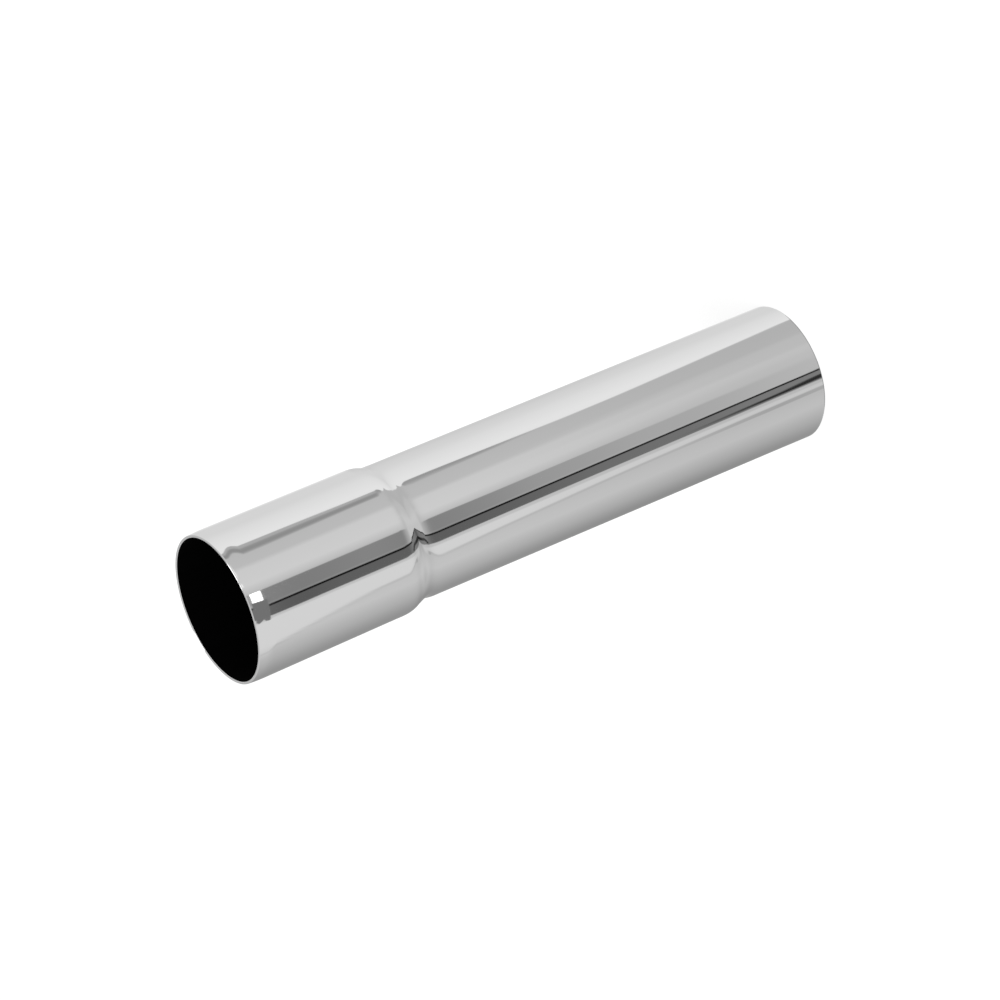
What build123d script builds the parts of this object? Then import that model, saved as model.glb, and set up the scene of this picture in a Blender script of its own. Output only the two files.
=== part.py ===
from build123d import *
import os
from math import atan2, cos, degrees, radians, sin

# Extension tube for a basin drain: a thin plain tube with one end widened into
# a straight socket that slides over the next tube of the same diameter.
# All sizes are in millimetres. The tube stands as it is fitted under a basin, on
# its plain end with the socket on top. Its axis is the Z axis, and the origin is
# the centre of the plain end.

# Outside diameter of the plain tube, and of the tube that enters the socket
tube_od = 31.75

# Thickness of the sheet the tube is drawn from, the same all along
wall = 0.8

# Length over everything, from the plain end to the socket's mouth
overall_length = 152.4

# Gap all round between the socket's bore and the tube that enters it
socket_clearance = 0.375

# Straight part of the socket, from its mouth down to where the shoulder starts
socket_depth = 39.8

# Length of the shoulder, from the straight socket down to the groove at its foot
shoulder_length = 5.4

# Share of the shoulder's length taken by its first, outward bend
shoulder_first_share = 0.6

# Depth of the shallow groove at the shoulder's foot, below the plain tube
groove_depth = 0.1

# Length over which the groove runs out into the plain tube
groove_runout_length = 3.0

# Polished-down zone outside the socket's mouth: its length and its depth at the rim
lip_length = 4.2
lip_drop = 0.2

# Rounding of the four rim edges, two at the mouth and two at the plain end
edge_round = 0.15

# Radii that follow from the sizes above
tube_r = tube_od / 2
socket_bore_r = tube_r + socket_clearance
socket_r = socket_bore_r + wall
groove_r = tube_r - groove_depth

# Heights that follow from the sizes above
mouth_z = overall_length
lip_z = mouth_z - lip_length
socket_z = mouth_z - socket_depth
groove_z = socket_z - shoulder_length
tube_z = groove_z - groove_runout_length

# The shoulder is two arcs that meet on the straight line between its ends, so
# the share of the length is also the share of the drop, and the slope where
# they meet is twice the slope of that line. The groove's runout is built the same.
shoulder_drop = socket_r - groove_r
shoulder_slope = 2 * degrees(atan2(shoulder_drop, shoulder_length))
runout_slope = 2 * degrees(atan2(groove_depth, groove_runout_length))

# Outside of the wall as radius and height, from the mouth down to the plain end
mouth_out = (socket_r - lip_drop, mouth_z)
lip_out = (socket_r, lip_z)
socket_out = (socket_r, socket_z)
shoulder_out = (
    socket_r - shoulder_drop * shoulder_first_share,
    socket_z - shoulder_length * shoulder_first_share,
)
groove_out = (groove_r, groove_z)
runout_out = (groove_r + groove_depth / 2, groove_z - groove_runout_length / 2)
tube_out = (tube_r, tube_z)
end_out = (tube_r, 0)


def inside(point, slope=0):
    """The point one wall thickness in, square to a surface of this slope.

    The slope is in degrees, and is positive where the tube narrows downwards.
    """
    radius, height = point
    return (
        radius - wall * cos(radians(slope)),
        height + wall * sin(radians(slope)),
    )


# Inside of the wall, one wall thickness in from the same places
mouth_in = (socket_bore_r, mouth_z)
socket_in = inside(socket_out)
shoulder_in = inside(shoulder_out, shoulder_slope)
groove_in = inside(groove_out)
runout_in = inside(runout_out, -runout_slope)
tube_in = inside(tube_out)
end_in = inside(end_out)

up = (0, 1)
down = (0, -1)

with BuildPart() as extension_tube:
    # Section of the wall on one side of the axis
    with BuildSketch(Plane.XZ) as wall_section:
        with BuildLine() as wall_outline:
            # Outside: lip, socket, shoulder, groove and plain tube
            TangentArc(lip_out, mouth_out, tangent=up)
            Line(lip_out, socket_out)
            TangentArc(socket_out, shoulder_out, tangent=down)
            TangentArc(groove_out, shoulder_out, tangent=up)
            TangentArc(groove_out, runout_out, tangent=down)
            TangentArc(tube_out, runout_out, tangent=up)
            Line(tube_out, end_out)
            # Plain end, cut square
            Line(end_out, end_in)
            # Inside: plain tube, groove, shoulder and the socket's bore
            Line(end_in, tube_in)
            TangentArc(tube_in, runout_in, tangent=up)
            TangentArc(groove_in, runout_in, tangent=down)
            TangentArc(groove_in, shoulder_in, tangent=up)
            TangentArc(socket_in, shoulder_in, tangent=down)
            Line(socket_in, mouth_in)
            # Mouth, cut square
            Line(mouth_in, mouth_out)
        make_face()
        # Rim edges, slightly rounded by the polishing
        fillet(wall_section.vertices().group_by(Axis.Y)[0], radius=edge_round)
        fillet(wall_section.vertices().group_by(Axis.Y)[-1], radius=edge_round)
    # One turn round the axis
    revolve(axis=Axis.Z)

extension_tube.part.label = "extension_tube"
os.makedirs("parts", exist_ok=True)
export_step(extension_tube.part, "parts/extension_tube.step")
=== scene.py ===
from math import atan, atan2, cos, degrees, hypot, pi, radians, sin, sqrt

import bpy
import numpy as np
from mathutils import Matrix, Vector


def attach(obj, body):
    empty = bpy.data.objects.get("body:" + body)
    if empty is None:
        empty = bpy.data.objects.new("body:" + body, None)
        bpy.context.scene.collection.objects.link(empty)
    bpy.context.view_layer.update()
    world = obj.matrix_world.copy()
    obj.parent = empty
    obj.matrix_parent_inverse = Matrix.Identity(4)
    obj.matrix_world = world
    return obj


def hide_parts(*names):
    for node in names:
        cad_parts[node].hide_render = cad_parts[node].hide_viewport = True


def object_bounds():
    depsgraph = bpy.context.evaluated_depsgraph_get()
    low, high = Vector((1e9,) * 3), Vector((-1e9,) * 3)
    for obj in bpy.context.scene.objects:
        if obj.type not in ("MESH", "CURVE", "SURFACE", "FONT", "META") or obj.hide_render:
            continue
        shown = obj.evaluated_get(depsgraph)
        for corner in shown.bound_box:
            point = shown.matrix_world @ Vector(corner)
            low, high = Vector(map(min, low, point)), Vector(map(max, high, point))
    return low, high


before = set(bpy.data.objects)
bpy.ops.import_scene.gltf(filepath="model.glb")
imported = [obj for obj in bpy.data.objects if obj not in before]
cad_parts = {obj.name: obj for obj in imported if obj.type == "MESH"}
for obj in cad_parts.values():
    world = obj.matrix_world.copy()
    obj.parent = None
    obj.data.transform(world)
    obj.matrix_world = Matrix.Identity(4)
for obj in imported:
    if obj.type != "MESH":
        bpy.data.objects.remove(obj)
cad_low, cad_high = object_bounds()

# Sizes of the tube in metres. The length and the socket's radius come from the CAD parts in
# model.glb.
MM = 0.001
length = cad_high.z
socket_r = (cad_high.x - cad_low.x) / 2
wall = 0.8 * MM
tube_r = 15.875 * MM
socket_depth = 39.8 * MM
shoulder_length = 5.4 * MM
groove_depth = 0.33 * MM
groove_rise_length = 2.2 * MM
groove_runout_length = 3.0 * MM
lip_length = 4.2 * MM
lip_drop = 0.2 * MM
mouth_round = 0.15 * MM
end_round = 0.3 * MM

# The drawn sheet bends more softly than plain arcs. The shoulder starts and ends this
# much beyond its nominal length. The powers say how gently the slope grows from each
# end of the shoulder. At 1 it would be an arc.
soft_start = 2.4 * MM
soft_start_power = 3
soft_end = 3.4 * MM
soft_end_power = 4

# How far below the straight socket the shoulder's two bends meet
bend_drop = 2.4 * MM

# The tube isn't drawn quite true. These are the distances that the wall stands off
# towards +X, as (height, distance) points in millimetres, on its +X and its -X side.
offset_at_plus_x = [(0, -0.15), (107.5, 0.17), (110, -0.03), (113, -0.08), (152.4, -0.07)]
offset_at_minus_x = [
    (0, -0.31), (102, 0.33), (107.2, 0.33), (109.5, 0.13), (112, 0.05), (118, 0.11), (152.4, -0.22),
]

# Places that follow from them
bore_r = socket_r - wall
socket_z = length - socket_depth
groove_z = socket_z - shoulder_length
bend_z = socket_z - bend_drop

# Camera of the photograph: it looks down into the mouth and is turned on its side
CAMERA_PLACE = (-2.01 * MM, -751.89 * MM, 470.19 * MM)
CAMERA_ELEVATION = 27.42
CAMERA_ROLL = -112.94
CAMERA_LENS = 138.57

# Share of light that the chrome plate sends back when seen straight on
CHROME_REFLECTANCE = 0.8

# Columns of faces round the tube
TUBE_SEGMENTS = 384

# Powers of the cosine that keep what is untrue to the two sides of the tube, and the
# groove to a narrower stretch
SIDE_POWER = 9
GROOVE_POWER = 14


def smooth(value, start, end):
    """0 at start, 1 at end, and a smooth step between them."""
    t = np.clip((value - start) / (end - start), 0, 1)
    return t * t * (3 - 2 * t)


def mix(low, high, share):
    return low + (high - low) * share


def between(value, low, high, soft):
    """1 from low to high, and 0 beyond soft edges of that width."""
    return smooth(value, low - soft, low) * smooth(value, high + soft, high)


def curve(value, *points):
    """Straight runs through these (value, result) points."""
    places, results = zip(*points)
    return np.interp(value, places, results)


def arc(centre, radius, start, end, steps):
    """Points of an arc in the radius-height plane, each with its surface normal.

    Angles are in degrees, 0 pointing outward and 90 up.
    """
    rows = []
    for angle in np.radians(np.linspace(start, end, steps + 1)):
        across, up = cos(angle), sin(angle)
        rows.append((centre[0] + radius * across, centre[1] + radius * up, across, up))
    return rows


def neck_rows():
    """Outside of the shoulder, from the socket downwards to the plain tube."""
    top_z = socket_z + soft_start
    bottom_z = groove_z - soft_end
    first, second = top_z - bend_z, bend_z - bottom_z
    first_share = first / (soft_start_power + 1)
    second_share = second / (soft_end_power + 1)
    steepest = (socket_r - tube_r) / (first_share + second_share)
    rows = []
    for z in np.linspace(top_z, bottom_z, 81):
        if z > bend_z:
            share = (top_z - z) / first
            fall = steepest * share**soft_start_power
            radius = socket_r - fall * share * first_share
        else:
            share = (z - bottom_z) / second
            fall = steepest * share**soft_end_power
            radius = tube_r + fall * share * second_share
        slope = atan(fall)
        rows.append((radius, z, cos(slope), -sin(slope)))
    return rows


def untrue(z, angles):
    """How far the wall stands outward of its true circle at these heights and angles.

    The angles are from +X. Only the two sides at +X and -X change, and the groove at
    the shoulder's foot shows only on the side at -X.
    """
    side = np.cos(angles)
    plus_x = curve(z / MM, *offset_at_plus_x) * MM
    minus_x = curve(z / MM, *offset_at_minus_x) * MM
    distance = np.where(side > 0, plus_x, minus_x) * side**SIDE_POWER
    reach = np.where(z > groove_z, groove_rise_length, groove_runout_length)
    groove = np.maximum(1 - ((z - groove_z) / reach) ** 2, 0) ** 2
    return distance - groove_depth * groove * np.maximum(-side, 0) ** GROOVE_POWER


def wall_outline():
    """Closed outline of the wall: (radius, height, normal outward, normal up) rows.

    Returns the plated outside with both rims, then the bare inside, which starts at
    the plain end, and last the rounding between the bore and the mouth's rim.
    """
    # The polished-down lip is one large arc, and the rim's rounding touches it inside
    lip_r = (lip_length**2 + lip_drop**2) / (2 * lip_drop)
    lip_centre = (socket_r - lip_r, length - lip_length)
    rim_rise = lip_length - mouth_round
    rim_reach = sqrt((lip_r - mouth_round) ** 2 - rim_rise**2)
    rim_centre = (lip_centre[0] + rim_reach, length - mouth_round)
    rim_slope = degrees(atan2(rim_rise, rim_reach))

    neck = neck_rows()
    outside = []
    outside += arc(rim_centre, mouth_round, 90, rim_slope, 8)
    outside += arc(lip_centre, lip_r, rim_slope, 0, 16)
    outside += neck
    outside += arc((tube_r - end_round, end_round), end_round, 0, -90, 8)
    outside += arc((tube_r - wall + end_round, end_round), end_round, -90, -180, 8)

    inside = [(r - wall * across, z - wall * up, -across, -up) for r, z, across, up in neck]
    inside.reverse()
    mouth = arc((bore_r + mouth_round, length - mouth_round), mouth_round, 180, 90, 8)
    return outside, inside, mouth


def join_rows(*runs):
    """One list of outline rows, without a row that repeats the one before it."""
    rows = []
    for row in [row for run in runs for row in run]:
        if rows and hypot(row[0] - rows[-1][0], row[1] - rows[-1][1]) < 1e-9:
            continue
        rows.append(row)
    return rows


def make_tube(outer_material, inner_material):
    """The tube as a fine turned mesh, with smooth normals that follow its untrue wall."""
    outside, inside, mouth = wall_outline()
    outside = join_rows(outside)
    rows = join_rows(outside, inside, mouth)
    last_plated = len(outside) - 1
    first_plated = len(rows) - len(mouth)

    count = len(rows)
    turns = np.arange(TUBE_SEGMENTS) * 2 * pi / TUBE_SEGMENTS
    radii, heights, outward, upward = np.array(rows).T[:, None, :]
    angles = np.broadcast_to(turns[:, None], (TUBE_SEGMENTS, count))
    heights = heights + 0 * angles
    radii = radii + untrue(heights, angles)
    # Slopes of what is untrue, up the wall and round it, taken over small steps
    step, turn = 0.3 * MM, 0.01
    by_height = (untrue(heights + step, angles) - untrue(heights - step, angles)) / (2 * step)
    by_angle = (untrue(heights, angles + turn) - untrue(heights, angles - turn)) / (2 * turn)
    upward = upward - outward * by_height
    sideways = -outward * by_angle / radii
    verts = np.stack(
        [radii * np.cos(angles), radii * np.sin(angles), heights], axis=2,
    ).reshape(-1, 3)
    normals = np.stack(
        [outward * np.cos(angles) - sideways * np.sin(angles),
         outward * np.sin(angles) + sideways * np.cos(angles),
         upward],
        axis=2,
    ).reshape(-1, 3)
    normals /= np.linalg.norm(normals, axis=1, keepdims=True)

    faces = []
    slots = []
    for segment in range(TUBE_SEGMENTS):
        here = segment * count
        there = (segment + 1) % TUBE_SEGMENTS * count
        for row in range(count):
            after = (row + 1) % count
            faces.append((here + row, here + after, there + after, there + row))
            slots.append(1 if last_plated <= row < first_plated else 0)

    mesh = bpy.data.meshes.new("extension_tube_skin")
    mesh.from_pydata(verts.tolist(), [], faces)
    mesh.materials.append(outer_material)
    mesh.materials.append(inner_material)
    mesh.polygons.foreach_set("material_index", slots)
    mesh.polygons.foreach_set("use_smooth", [True] * len(faces))
    mesh.update()
    mesh.normals_split_custom_set_from_vertices(normals.tolist())
    tube = bpy.data.objects.new("tube_skin", mesh)
    bpy.context.scene.collection.objects.link(tube)
    return tube


class Nodes:
    """Short names for building one node tree."""

    def __init__(self, tree):
        self.tree = tree
        tree.nodes.clear()

    def add(self, kind, **values):
        node = self.tree.nodes.new(kind)
        for name, value in values.items():
            setattr(node, name, value)
        return node

    def link(self, out_socket, in_socket):
        self.tree.links.new(out_socket, in_socket)


def new_material(name):
    material = bpy.data.materials.new(name)
    material.use_nodes = True
    return material, Nodes(material.node_tree)


def chrome_material():
    """Polished chrome plate: a faint polishing grain round the tube and a soft waviness."""
    material, nodes = new_material("chrome_plate")
    output = nodes.add("ShaderNodeOutputMaterial")
    shader = nodes.add("ShaderNodeBsdfPrincipled")
    shader.inputs["Metallic"].default_value = 1.0
    shader.inputs["Base Color"].default_value = (CHROME_REFLECTANCE,) * 3 + (1.0,)

    place = nodes.add("ShaderNodeTexCoord")

    # Grain: noise that is drawn out round the tube and fine along its axis
    squeeze = nodes.add("ShaderNodeMapping")
    squeeze.inputs["Scale"].default_value = (40.0, 40.0, 2600.0)
    grain = nodes.add("ShaderNodeTexNoise")
    grain.inputs["Scale"].default_value = 1.0
    grain.inputs["Detail"].default_value = 3.0

    # Waviness of the drawn tube under the plate
    wave = nodes.add("ShaderNodeTexNoise")
    wave.inputs["Scale"].default_value = 90.0
    wave.inputs["Detail"].default_value = 1.0

    # Handling haze: large soft patches where the polish is a little duller
    haze = nodes.add("ShaderNodeTexNoise")
    haze.inputs["Scale"].default_value = 45.0
    haze.inputs["Detail"].default_value = 4.0
    roughness = nodes.add("ShaderNodeMapRange")
    roughness.inputs["From Min"].default_value = 0.3
    roughness.inputs["From Max"].default_value = 0.7
    roughness.inputs["To Min"].default_value = 0.03
    roughness.inputs["To Max"].default_value = 0.06

    wave_bump = nodes.add("ShaderNodeBump")
    wave_bump.inputs["Strength"].default_value = 0.12
    wave_bump.inputs["Distance"].default_value = 0.01 * MM
    grain_bump = nodes.add("ShaderNodeBump")
    grain_bump.inputs["Strength"].default_value = 0.1
    grain_bump.inputs["Distance"].default_value = 0.002 * MM

    nodes.link(place.outputs["Object"], squeeze.inputs["Vector"])
    nodes.link(squeeze.outputs["Vector"], grain.inputs["Vector"])
    nodes.link(place.outputs["Object"], wave.inputs["Vector"])
    nodes.link(place.outputs["Object"], haze.inputs["Vector"])
    nodes.link(haze.outputs["Fac"], roughness.inputs["Value"])
    nodes.link(roughness.outputs["Result"], shader.inputs["Roughness"])
    nodes.link(wave.outputs["Fac"], wave_bump.inputs["Height"])
    nodes.link(grain.outputs["Fac"], grain_bump.inputs["Height"])
    nodes.link(wave_bump.outputs["Normal"], grain_bump.inputs["Normal"])
    nodes.link(grain_bump.outputs["Normal"], shader.inputs["Normal"])
    nodes.link(shader.outputs["BSDF"], output.inputs["Surface"])
    return material


def inside_painted_shade_material():
    """Unplated inside of the tube: painted shade, nearly black, with drawing streaks along the
    axis.
    """
    material, nodes = new_material("inside_painted_shade")
    output = nodes.add("ShaderNodeOutputMaterial")
    shader = nodes.add("ShaderNodeBsdfPrincipled")
    shader.inputs["Specular IOR Level"].default_value = 0.04
    shader.inputs["Roughness"].default_value = 0.6
    place = nodes.add("ShaderNodeTexCoord")
    stretch = nodes.add("ShaderNodeMapping")
    stretch.inputs["Scale"].default_value = (400.0, 400.0, 25.0)
    streaks = nodes.add("ShaderNodeTexNoise")
    streaks.inputs["Scale"].default_value = 1.0
    streaks.inputs["Detail"].default_value = 5.0
    # Painted shade: these near-black colours stand in for the shadow deep inside the tube, and the
    # streaks vary them a little
    painted_shade_colour = nodes.add("ShaderNodeValToRGB")
    painted_shade_colour.color_ramp.elements[0].color = (0.0002, 0.0002, 0.0002, 1)
    painted_shade_colour.color_ramp.elements[1].color = (0.0012, 0.0012, 0.0012, 1)
    bump = nodes.add("ShaderNodeBump")
    bump.inputs["Strength"].default_value = 0.3
    bump.inputs["Distance"].default_value = 0.02 * MM
    nodes.link(place.outputs["Object"], stretch.inputs["Vector"])
    nodes.link(stretch.outputs["Vector"], streaks.inputs["Vector"])
    nodes.link(streaks.outputs["Fac"], painted_shade_colour.inputs["Fac"])
    nodes.link(streaks.outputs["Fac"], bump.inputs["Height"])
    nodes.link(painted_shade_colour.outputs["Color"], shader.inputs["Base Color"])
    nodes.link(bump.outputs["Normal"], shader.inputs["Normal"])
    nodes.link(shader.outputs["BSDF"], output.inputs["Surface"])
    return material


# The tent round the tube, which only the chrome sees. Its pattern is given by two
# angles: the bearing, 0 at the camera's side and 90 towards +X, and the polar angle,
# 0 straight down and 90 level. In the photograph's view the plain end shows the
# tent at a polar angle of 54.3, the neck at 66 and the socket's mouth at 70.4. The
# shoulder shows it almost down to 0, and the lip shows it up to 81.
TENT_RADIUS = 1.0
TENT_CENTRE_Z = length / 2
PLAIN_END_POLAR = 54.3
NECK_POLAR = 66

# Display values of the lamps, lights and dark cards inside the tent
LAMP_LEVEL = 1.25
RIM_LIGHT_LEVEL = 0.93
LIP_CARD_LEVEL = 0.44
FOOT_CARD_LEVEL = 0.4

# Their heights in millimetres
TRAY_HEIGHT = 105
FOOT_CARD_HEIGHT = -10
WINDOW_HEIGHT = 250.0


def tent_shade(bearing, polar):
    """Display value, 0 to 1, that the chrome shows where it reflects this direction."""
    # Share of the way from the neck to the plain end, as the photograph shows them
    far = smooth(polar, NECK_POLAR, PLAIN_END_POLAR)
    # Share of what lies below the plain end's reach, which only the shoulder shows
    low = smooth(polar, 57, 47)
    # 1 where the socket shows the tent, and 0 where the plain tube does
    socket_side = smooth(polar, 65.6, 66.6)

    # Overhead panel between the back panel and the flag
    near_side = curve(
        bearing,
        (2, 0.725), (5, 0.75), (9, 0.772), (14, 0.80), (37, 0.79), (43.5, 0.728), (56, 0.722),
        (72, 0.71),
    )
    far_side = curve(
        bearing,
        (2, 0.722), (12, 0.728), (18, 0.742), (23, 0.75), (29, 0.728), (44, 0.725),
        (50, 0.695), (72, 0.69),
    )
    low_side = curve(
        bearing,
        (-20, 0.755), (4, 0.772), (18, 0.77), (28, 0.75), (36, 0.735), (50, 0.725),
        (57, 0.70), (64, 0.69), (100, 0.70),
    )
    shade = mix(mix(near_side, far_side, far), low_side, low)

    # Back panel, brightest at its edge, and brighter again along the tube's outline
    # at the socket and at the plain end
    back = curve(
        bearing,
        (80, 0.89), (95, 0.87), (106, 0.855), (114, 0.837), (122, 0.822), (130, 0.812),
        (142, 0.792), (150, 0.77), (180, 0.75),
    )
    glow = curve(
        bearing,
        (122, 0), (142, 0.02), (150, 0.03), (160, 0.06), (166, 0.10), (180, 0.112),
    )
    back = back + glow * np.maximum(socket_side, 0.9 * smooth(polar, 60, 54.2))
    edge = curve(
        polar,
        (20, 135), (31, 105), (37, 90), (43, 80.5), (48, 76.8), (52, 76), (54.4, 79.6),
        (55.5, 77.1), (57.8, 73.1), (59.4, 70.9), (61, 70.8), (62.5, 72.5), (65.3, 75.4),
        (66.3, 73.8), (67.5, 73.9), (68.8, 75.2), (70.4, 75.9), (73, 80.2), (74.4, 80.8),
        (75.9, 79), (78.5, 73), (82.6, 71),
    )
    shade = mix(shade, back, smooth(bearing, edge - 1.2, edge + 1.2))

    # Gap below the back panel, which closes halfway along the tube. It has two tones
    # on the socket's side.
    width = curve(
        polar,
        (61, 1), (62.5, 4), (63.8, 8), (65.3, 10.5), (66.5, 12.5), (67.5, 12.8), (68.6, 15.5),
        (70.4, 18), (73.3, 16.5), (75, 14.5), (79.5, 12),
    )
    depth = (edge - bearing) / width
    near_tone = curve(
        depth,
        (0.0, 0.66), (0.25, 0.655), (0.42, 0.565), (0.62, 0.545), (0.75, 0.565), (0.9, 0.64),
        (1.0, 0.70),
    )
    far_tone = curve(depth, (0.0, 0.58), (0.35, 0.59), (0.6, 0.625), (1.0, 0.70))
    share = smooth(depth, -0.04, 0.06) * smooth(depth, 1.05, 0.85)
    share = share * smooth(polar, 61.1, 63.5) * smooth(polar, 85.6, 80.5)
    shade = mix(shade, mix(far_tone, near_tone, socket_side), share)

    # Flag over the camera, dark at the neck and pale at the plain end
    flag_level = curve(
        polar,
        (50, 0.755), (52.5, 0.745), (54.3, 0.71), (55.5, 0.695), (56.5, 0.675), (57.8, 0.655),
        (59.4, 0.645), (60.9, 0.615), (62.5, 0.588), (63.8, 0.543), (65.3, 0.505),
        (66.6, 0.50), (67.5, 0.52), (68.6, 0.495), (69.8, 0.48), (70.5, 0.505), (75.5, 0.56),
        (79.5, 0.60),
    )
    flag_edge = curve(
        polar,
        (52.9, 12), (54.3, 8), (56.5, 3.5), (59, 2.2), (63.8, 2.2), (65.3, 2.8), (66.4, 1.9),
        (70.5, 1.5),
    )
    flag_soft = curve(polar, (54.3, 12), (57, 4), (61.1, 1.2))
    shade = mix(shade, flag_level, smooth(bearing, flag_edge, flag_edge - flag_soft))

    # Dark front, with a black line along its upper edge and a second one inside it
    line = curve(
        polar,
        (7.7, -5), (18, -7.6), (34.4, -11.2), (43, -14.3), (50, -15.9), (52.9, -18.5),
        (54.4, -20.9), (55.5, -20.9), (57.8, -21.4), (61, -21.8), (65.3, -22.3),
        (66.6, -23.3), (68.6, -23.0), (70.5, -23.3), (73.4, -20), (79.5, -19),
    )
    front_end = curve(
        polar,
        (7.7, -60), (13.5, -54), (19.5, -46), (29.6, -42), (39.3, -39), (49, -37),
        (54.4, -36.9), (56.5, -37.3), (60, -36.7), (62.5, -36.7), (65.3, -37.2),
        (66.6, -38.3), (69, -38.3), (69.8, -38.9), (70.5, -38.3), (73.4, -36),
    )
    front_level = curve(
        polar,
        (11.6, 0.25), (18, 0.36), (25, 0.42), (34.5, 0.46), (54.4, 0.48), (56.5, 0.465),
        (57.8, 0.44), (60.9, 0.42), (62.5, 0.385), (65, 0.36), (68.6, 0.367), (69.8, 0.33),
        (70.5, 0.38), (73.4, 0.44),
    )
    weave = 0.02 * np.sin(bearing * 2.9 + polar * 1.7) * np.sin(polar * 4.3 - bearing * 0.8)
    shade = mix(shade, front_level + weave, smooth(bearing, line, line - 1.0))
    inner = curve(
        polar,
        (7.7, -40), (19, -36), (25, -31.5), (31, -30), (37, -28.5), (48, -27.5), (52, -29.5),
        (54.4, -31.9), (55.5, -33.2), (57, -33.6),
    )
    inner_width = curve(
        polar,
        (9.6, 4.5), (19, 4.0), (31, 2.5), (43, 1.5), (52, 1.5), (54.4, 2.2), (55.5, 0.8),
        (57, 0.4),
    )
    inner_level = curve(
        polar,
        (20, 0.13), (31, 0.15), (37, 0.19), (45, 0.24), (52, 0.22), (54.4, 0.16),
    )
    inner_share = between(bearing, inner - inner_width, inner + inner_width, 2.0)
    shade = mix(shade, inner_level, inner_share * smooth(polar, 58.5, 55.4))
    line_share = between(bearing, line - 0.9, line + 0.9, 0.7)
    line_strength = curve(polar, (60, 0.85), (63, 1), (70.5, 1), (70.9, 0.9), (73.4, 0.5))
    shade = mix(shade, 0.02, line_share * line_strength)
    beside_line = between(bearing, line + 2.6, line + 3.4, 0.8)
    shade = shade + 0.04 * beside_line * curve(polar, (54, 0), (60, 0.6), (64, 1))

    # Table in front and below: pale up to a curved edge, then falling off round the foot
    table_edge = curve(
        polar,
        (49, -46), (54.4, -47.7), (56.5, -48.1), (57.8, -49), (59.4, -49.8), (60.9, -51),
        (62.5, -53.5), (63.8, -55.2), (65.3, -58.5), (66.7, -63), (67.5, -64), (68.6, -70),
        (69.8, -77.7), (70.5, -83), (74.4, -89),
    )
    pale = mix(0.82, 0.775, far)
    pale = mix(mix(0.75, 0.715, far), pale, smooth(bearing, -40.6, -43.4))
    falloff = curve(
        bearing,
        (-180, 0.60), (-158, 0.545), (-145, 0.555), (-132, 0.59), (-122, 0.625), (-110, 0.67),
        (-95, 0.715), (-80, 0.76), (-68, 0.755), (-50, 0.735),
    )
    falloff = falloff - 0.02 * far + 0.02 * smooth(polar, 71.5, 75)
    # The curved edge goes soft where the lip shows it
    edge_soft = curve(polar, (71, 1.4), (75, 14))
    table = mix(pale, falloff, smooth(bearing, table_edge + edge_soft, table_edge - edge_soft))
    valley = curve(polar, (49.5, 0), (53.6, 0.095), (55.5, 0.10), (58.5, 0.035), (61, 0.03))
    valley_width = curve(polar, (56, 4.5), (59, 1.8))
    valley_top = table_edge - 1.6
    table = table - valley * between(bearing, valley_top - valley_width, valley_top, 1.4)
    middle_table = curve(
        bearing,
        (-140, 0.665), (-120, 0.695), (-102, 0.725), (-88, 0.758), (-75, 0.757), (-65, 0.737),
        (-56, 0.717), (-49, 0.765), (-45, 0.765), (-41, 0.73),
    )
    deep_table = curve(
        bearing,
        (-130, 0.75), (-102, 0.768), (-88, 0.74), (-75, 0.715), (-60, 0.675), (-48, 0.64),
    )
    lower_table = mix(middle_table, deep_table, smooth(polar, 43, 22))
    table = mix(table, lower_table, smooth(polar, 58.5, 45))
    shade = mix(shade, table, smooth(bearing, front_end + 0.5, front_end - 0.5))

    # High above, a plain pale ceiling that is a little greyer at the back
    ceiling = mix(0.78, 0.70, smooth(np.abs(bearing), 120, 160))
    return mix(shade, ceiling, smooth(polar, 98, 108))


def to_light(shade):
    """Brightness that the chrome turns into this display value."""
    level = np.where(shade <= 0.04045, shade / 12.92, ((shade + 0.055) / 1.055) ** 2.4)
    return level / CHROME_REFLECTANCE


def make_glowing_sheet(name, verts, columns, shade, material):
    """Sheet over a grid of points that only the chrome sees."""
    faces = []
    for row in range(len(verts) // columns - 1):
        for column in range(columns - 1):
            corner = row * columns + column
            faces.append((corner, corner + 1, corner + columns + 1, corner + columns))
    mesh = bpy.data.meshes.new(name)
    mesh.from_pydata(verts.tolist(), [], faces)
    brightness = mesh.attributes.new("brightness", "FLOAT", "POINT")
    brightness.data.foreach_set("value", to_light(shade.ravel()).astype(np.float32))
    mesh.materials.append(material)
    sheet = bpy.data.objects.new(name, mesh)
    bpy.context.scene.collection.objects.link(sheet)
    sheet.visible_camera = False
    sheet.visible_diffuse = False
    sheet.visible_transmission = False
    sheet.visible_shadow = False


def make_tent(material):
    """Dome of the tent with its brightness on each corner of the mesh."""
    bearings = np.linspace(-180, 180, 721)
    polars = np.concatenate([np.arange(1, 54, 1), np.arange(54, 84, 0.5), np.arange(84, 180, 3)])
    grid_b, grid_p = np.meshgrid(bearings, polars)
    shade = np.clip(tent_shade(grid_b, grid_p), 0, None)
    b, p = np.radians(grid_b), np.radians(grid_p)
    verts = np.stack(
        [TENT_RADIUS * np.sin(p) * np.sin(b),
         -TENT_RADIUS * np.sin(p) * np.cos(b),
         TENT_CENTRE_Z - TENT_RADIUS * np.cos(p)],
        axis=2,
    ).reshape(-1, 3)
    make_glowing_sheet("studio_tent", verts, len(bearings), shade, material)


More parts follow.
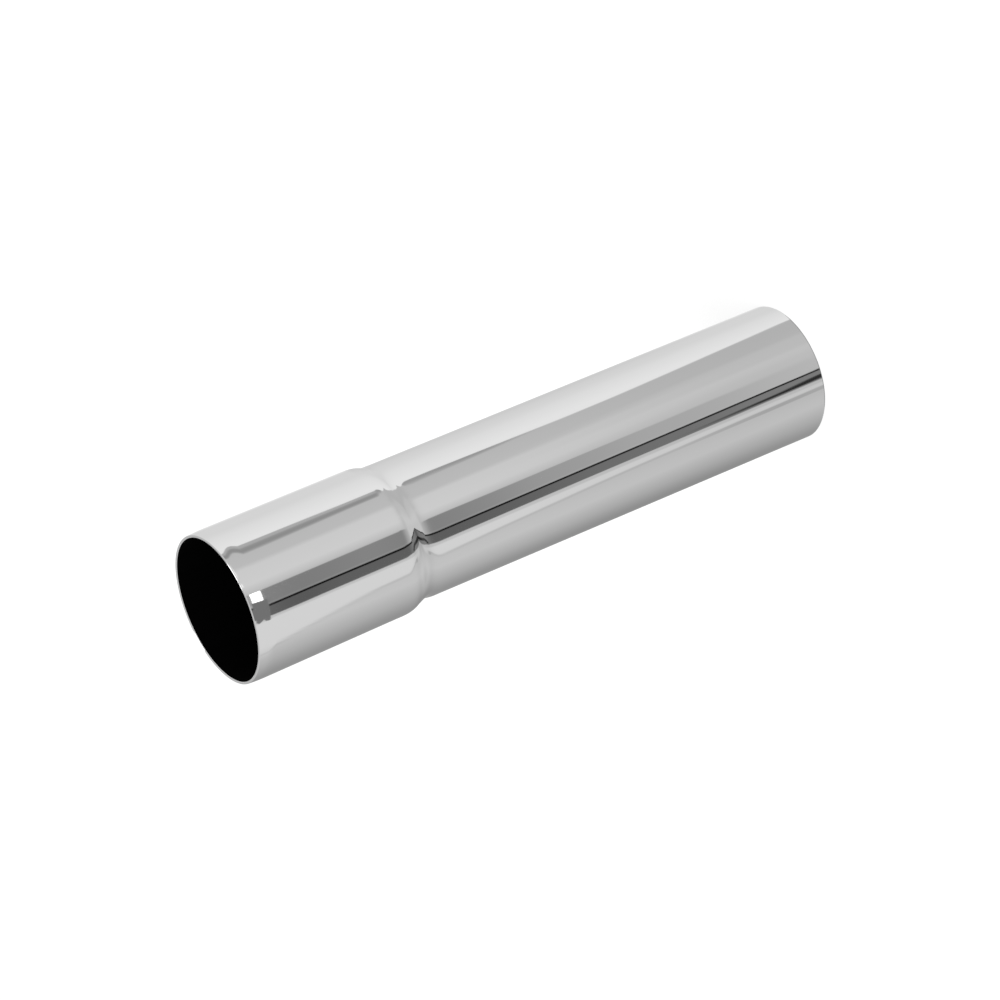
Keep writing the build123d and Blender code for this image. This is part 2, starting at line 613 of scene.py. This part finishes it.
def make_tray(name, inner_radius, outer_radius, left_edge, right_edge, level, height, material):
    """Flat card round the tube, below the edge that is meant to reflect it.

    The edges are (radius, bearing) points in millimetres and degrees, and the height
    is in millimetres.
    """
    radii = np.linspace(inner_radius, outer_radius, 40)
    left = curve(radii, *left_edge)
    right = curve(radii, *right_edge)
    across = np.linspace(0, 1, 40)
    b = np.radians(left[:, None] + (right - left)[:, None] * across[None, :])
    r = radii[:, None]
    verts = np.stack([r * np.sin(b), -r * np.cos(b), np.full_like(b, height)], axis=2)
    verts = verts.reshape(-1, 3) * MM
    make_glowing_sheet(name, verts, len(across), np.full(b.shape, level), material)


def make_trays(material):
    """Lamp and dark card that show in the lip, the lights along its rim, and the foot's card."""
    left, right = [(129, -12.4), (194, -11.2)], [(129, 0.7), (194, 1.1)]
    make_tray("lip_lamp", 129, 194, left, right, LAMP_LEVEL, TRAY_HEIGHT, material)
    left = [
        (116, -23), (119, -33), (123, -41), (142, -40.2), (151, -37), (161, -38.6), (185, -41),
        (198, -39),
    ]
    right = [(116, -12.6), (204, -11.4)]
    make_tray("lip_card", 116, 204, left, right, LIP_CARD_LEVEL, TRAY_HEIGHT, material)
    left, right = [(208, 32), (225, 24.5)], [(208, 50), (225, 60)]
    make_tray("rim_light", 208, 300, left, right, RIM_LIGHT_LEVEL, TRAY_HEIGHT, material)
    left, right = [(208, 14), (225, 12)], [(208, 17), (225, 20)]
    make_tray("rim_spark", 208, 300, left, right, RIM_LIGHT_LEVEL, TRAY_HEIGHT, material)
    left, right = [(15.9, -75), (29, -60)], [(15.9, 75), (29, 60)]
    make_tray("foot_card", 15.9, 29, left, right, FOOT_CARD_LEVEL, FOOT_CARD_HEIGHT, material)

    # Small windows high behind the tube, which show as white marks on the mouth's rim.
    # Each has two edges along X and two along Y, in millimetres.
    windows = [
        ("left", -8.6, -2.8, 243, 259),
        ("middle", 2.8, 4.4, 203, 217),
        ("right", 5.2, 10.8, 203, 217),
    ]
    for side, start, end, near, far in windows:
        corners = [(x, y, WINDOW_HEIGHT) for y in (near, far) for x in (start, end)]
        shade = np.full((2, 2), LAMP_LEVEL)
        make_glowing_sheet(f"rim_window_{side}", np.array(corners) * MM, 2, shade, material)


def tent_material():
    material, nodes = new_material("tent_cloth")
    output = nodes.add("ShaderNodeOutputMaterial")
    glow = nodes.add("ShaderNodeEmission")
    brightness = nodes.add("ShaderNodeAttribute", attribute_name="brightness")
    nodes.link(brightness.outputs["Fac"], glow.inputs["Strength"])
    nodes.link(glow.outputs["Emission"], output.inputs["Surface"])
    material.cycles.emission_sampling = "NONE"
    return material


def floor_material():
    """White floor that keeps a soft shadow of the tube.

    Its glow grows with the distance from the tube, where less of the lamps' light falls.
    """
    material, nodes = new_material("white_floor")
    output = nodes.add("ShaderNodeOutputMaterial")
    total = nodes.add("ShaderNodeAddShader")
    paint = nodes.add("ShaderNodeBsdfDiffuse")
    paint.inputs["Color"].default_value = (0.4, 0.4, 0.4, 1)
    glow = nodes.add("ShaderNodeEmission")
    path = nodes.add("ShaderNodeLightPath")
    share = nodes.add("ShaderNodeMath", operation="MULTIPLY")
    place = nodes.add("ShaderNodeTexCoord")
    distance = nodes.add("ShaderNodeVectorMath", operation="LENGTH")
    rise = nodes.add("ShaderNodeMapRange")
    rise.inputs["From Min"].default_value = 0.3
    rise.inputs["From Max"].default_value = 1.6
    rise.inputs["To Min"].default_value = 0.66
    rise.inputs["To Max"].default_value = 0.80
    nodes.link(place.outputs["Object"], distance.inputs[0])
    nodes.link(distance.outputs["Value"], rise.inputs["Value"])
    nodes.link(rise.outputs["Result"], share.inputs[1])
    nodes.link(path.outputs["Is Camera Ray"], share.inputs[0])
    nodes.link(share.outputs["Value"], glow.inputs["Strength"])
    nodes.link(paint.outputs["BSDF"], total.inputs[0])
    nodes.link(glow.outputs["Emission"], total.inputs[1])
    nodes.link(total.outputs["Shader"], output.inputs["Surface"])
    return material


def make_floor(material):
    half = 6.0
    mesh = bpy.data.meshes.new("floor")
    mesh.from_pydata(
        [(-half, -half, 0), (half, -half, 0), (half, half, 0), (-half, half, 0)],
        [],
        [(0, 1, 2, 3)],
    )
    mesh.materials.append(material)
    floor = bpy.data.objects.new("floor", mesh)
    bpy.context.scene.collection.objects.link(floor)
    floor.visible_glossy = False


def make_world():
    """White to the eye and in reflections, and a plain fill light for the rest."""
    world = bpy.data.worlds.new("studio_world")
    bpy.context.scene.world = world
    world.use_nodes = True
    nodes = Nodes(world.node_tree)
    output = nodes.add("ShaderNodeOutputWorld")
    fill = nodes.add("ShaderNodeBackground")
    fill.inputs["Strength"].default_value = 0.55
    white = nodes.add("ShaderNodeBackground")
    white.inputs["Strength"].default_value = 1.0
    for background in (fill, white):
        background.inputs["Color"].default_value = (1, 1, 1, 1)
    path = nodes.add("ShaderNodeLightPath")
    sharp = nodes.add("ShaderNodeMath", operation="MAXIMUM")
    seen = nodes.add("ShaderNodeMath", operation="MAXIMUM")
    choose = nodes.add("ShaderNodeMixShader")
    nodes.link(path.outputs["Is Glossy Ray"], sharp.inputs[0])
    nodes.link(path.outputs["Is Transmission Ray"], sharp.inputs[1])
    nodes.link(path.outputs["Is Camera Ray"], seen.inputs[0])
    nodes.link(sharp.outputs["Value"], seen.inputs[1])
    nodes.link(seen.outputs["Value"], choose.inputs["Fac"])
    nodes.link(fill.outputs["Background"], choose.inputs[1])
    nodes.link(white.outputs["Background"], choose.inputs[2])
    nodes.link(choose.outputs["Shader"], output.inputs["Surface"])


def make_lamp(name, place, target, size, power):
    """Square soft lamp that shines from place to target and doesn't show in the chrome."""
    lamp = bpy.data.lights.new(name, "AREA")
    lamp.shape = "SQUARE"
    lamp.size = size
    lamp.energy = power
    lamp_object = bpy.data.objects.new(name, lamp)
    lamp_object.location = place
    away = Vector(place) - Vector(target)
    lamp_object.rotation_mode = "QUATERNION"
    lamp_object.rotation_quaternion = away.to_track_quat("Z", "Y")
    lamp_object.visible_glossy = False
    bpy.context.scene.collection.objects.link(lamp_object)


def make_camera():
    data = bpy.data.cameras.new("photo_camera")
    data.lens = CAMERA_LENS
    data.sensor_width = 36.0
    data.clip_start = 0.01
    data.clip_end = 50.0
    camera = bpy.data.objects.new("photo_camera", data)
    elevation, roll = radians(CAMERA_ELEVATION), radians(CAMERA_ROLL)
    back = Vector((0, -cos(elevation), sin(elevation)))
    level_right = Vector((1, 0, 0))
    level_up = back.cross(level_right)
    right = level_right * cos(roll) + level_up * sin(roll)
    up = level_up * cos(roll) - level_right * sin(roll)
    turn = Matrix((right, up, back)).transposed()
    camera.rotation_mode = "QUATERNION"
    camera.rotation_quaternion = turn.to_quaternion()
    camera.location = CAMERA_PLACE
    bpy.context.scene.collection.objects.link(camera)
    bpy.context.scene.camera = camera


tube = make_tube(chrome_material(), inside_painted_shade_material())
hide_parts("extension_tube")
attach(tube, "root")

make_floor(floor_material())
tent_cloth = tent_material()
make_tent(tent_cloth)
make_trays(tent_cloth)
make_world()
lamp_target = (0, 0, 0.05)
make_lamp("key_lamp", (-0.5, -0.6, 1.3), lamp_target, size=1.2, power=14.0)
make_lamp("fill_lamp", (0.9, 0.4, 0.9), lamp_target, size=1.2, power=7.0)
make_camera()
bpy.context.scene.view_settings.view_transform = "Standard"
